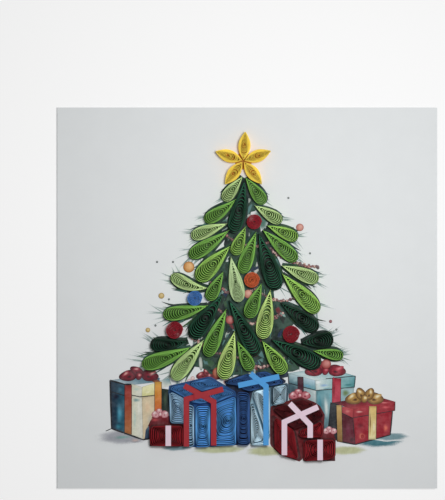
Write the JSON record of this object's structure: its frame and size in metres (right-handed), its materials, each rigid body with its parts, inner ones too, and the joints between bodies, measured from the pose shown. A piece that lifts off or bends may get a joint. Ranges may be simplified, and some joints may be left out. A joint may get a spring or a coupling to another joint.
{
  "type": "quilled greeting card",
  "caption": "Square folded greeting card, its front dressed with a quilled paper fir tree, star, baubles and wrapped presents over a soft printed ground.",
  "frame": {"origin": "middle of the closed card's back face", "axes": "+Z out of the card's front, +Y towards the top of the tree, +X to the right, away from the fold"},
  "size_m": [0.15, 0.15, 0.0045],
  "materials": {
    "card_stock": "matt white card, printed on the front",
    "light_green_paper": "matt quilling strip on edge",
    "pale_green_paper": "matt quilling strip on edge",
    "lime_green_paper": "matt quilling strip on edge",
    "bright_green_paper": "matt quilling strip on edge",
    "mid_green_paper": "matt quilling strip on edge",
    "dark_green_paper": "matt quilling strip on edge",
    "deep_green_paper": "matt quilling strip on edge",
    "gold_paper": "matt quilling strip on edge",
    "red_paper": "matt quilling strip on edge",
    "orange_paper": "matt quilling strip on edge",
    "blue_paper": "matt quilling strip on edge",
    "steel_blue_paper": "matt quilling strip on edge",
    "mid_blue_paper": "matt quilling strip on edge",
    "dark_blue_paper": "matt quilling strip on edge",
    "navy_paper": "matt quilling strip on edge",
    "pale_blue_paper": "matt quilling strip on edge",
    "dark_red_paper": "matt quilling strip on edge",
    "maroon_paper": "matt quilling strip on edge",
    "red_ribbon_paper": "matt flat strip",
    "sky_ribbon_paper": "matt flat strip",
    "pink_ribbon_paper": "matt flat strip"
  },
  "bodies": {
    "root": {"bauble_blue": "blue_paper", "bauble_orange": "orange_paper", "bauble_red_left": "red_paper", "bauble_red_right": "red_paper", "bauble_red_top": "red_paper", "blue_gift_left": "steel_blue_paper", "blue_gift_lid": "dark_blue_paper", "blue_gift_middle": "mid_blue_paper", "blue_gift_narrow": "steel_blue_paper", "blue_gift_ribbon": "red_ribbon_paper", "blue_gift_right": "mid_blue_paper", "card": "card_stock", "crown_bough_1": "light_green_paper", "crown_bough_2": "mid_green_paper", "crown_bough_3": "dark_green_paper", "crown_bough_4": "mid_green_paper", "crown_bough_5": "light_green_paper", "lower_bough_1": "mid_green_paper", "lower_bough_10": "bright_green_paper", "lower_bough_11": "dark_green_paper", "lower_bough_12": "deep_green_paper", "lower_bough_13": "deep_green_paper", "lower_bough_14": "mid_green_paper", "lower_bough_2": "dark_green_paper", "lower_bough_3": "deep_green_paper", "lower_bough_4": "mid_green_paper", "lower_bough_5": "light_green_paper", "lower_bough_6": "mid_green_paper", "lower_bough_7": "lime_green_paper", "lower_bough_8": "dark_green_paper", "lower_bough_9": "mid_green_paper", "middle_bough_1": "bright_green_paper", "middle_bough_2": "light_green_paper", "middle_bough_3": "mid_green_paper", "middle_bough_4": "pale_green_paper", "middle_bough_5": "mid_green_paper", "middle_bough_6": "lime_green_paper", "middle_bough_7": "light_green_paper", "middle_bough_8": "bright_green_paper", "red_gift_left": "dark_red_paper", "red_gift_lid": "maroon_paper", "red_gift_ribbon": "pink_ribbon_paper", "red_gift_right": "dark_red_paper", "small_gift_left": "dark_red_paper", "small_gift_ribbons": "pink_ribbon_paper", "small_gift_right": "dark_red_paper", "star": "gold_paper", "tall_gift_front_high": "pale_blue_paper", "tall_gift_front_low": "pale_blue_paper", "tall_gift_lid": "navy_paper", "tall_gift_ribbon": "sky_ribbon_paper", "tall_gift_right": "pale_blue_paper", "tall_gift_side": "navy_paper", "upper_bough_1": "light_green_paper", "upper_bough_2": "mid_green_paper", "upper_bough_3": "bright_green_paper", "upper_bough_4": "mid_green_paper", "upper_bough_5": "dark_green_paper", "upper_bough_6": "bright_green_paper", "upper_bough_7": "mid_green_paper"}
  },
  "joints": []
}
